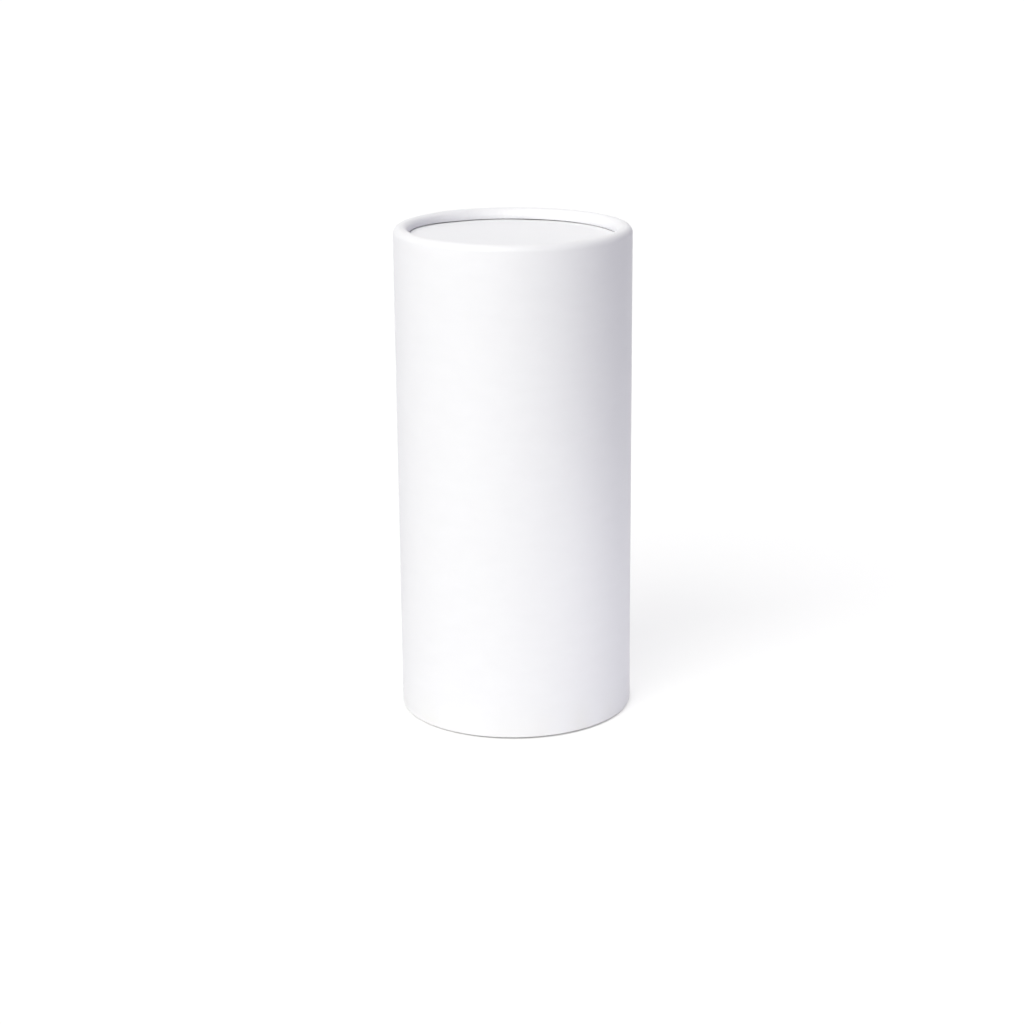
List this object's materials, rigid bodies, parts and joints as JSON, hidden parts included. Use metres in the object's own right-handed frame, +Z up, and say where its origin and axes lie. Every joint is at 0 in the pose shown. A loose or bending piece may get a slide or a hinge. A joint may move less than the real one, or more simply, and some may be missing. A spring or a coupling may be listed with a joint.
{
  "type": "round paper box",
  "caption": "Upright round paper tube box with a rolled rim and a recessed disc; a full-height lid lifts off a base tube that holds a bottle or jar.",
  "frame": {"origin": "centre of the foot, on the surface that the box stands on", "axes": "+Z up along the axis of the tubes, the way the lid lifts; -Y towards the viewer"},
  "size_m": [0.06, 0.06, 0.126],
  "materials": {
    "white_cover_paper": "smooth satin white cover paper",
    "wound_board": "matt grey wound board",
    "white_liner": "matt white-lined board"
  },
  "bodies": {
    "base": {"base_disc": "wound_board", "base_disc_facing": "white_cover_paper", "base_floor_lining": "white_cover_paper", "base_liner": "white_liner", "base_tube": "wound_board", "base_wrap": "white_cover_paper"},
    "lid": {"lid_disc": "wound_board", "lid_disc_facing": "white_cover_paper", "lid_disc_lining": "white_cover_paper", "lid_liner": "white_liner", "lid_tube": "wound_board", "lid_wrap": "white_cover_paper"}
  },
  "joints": [
    {"name": "lid_lift", "type": "slide", "parent": "base", "child": "lid", "axis": [0, 0, 1], "range_m": [0, 0.13]}
  ]
}
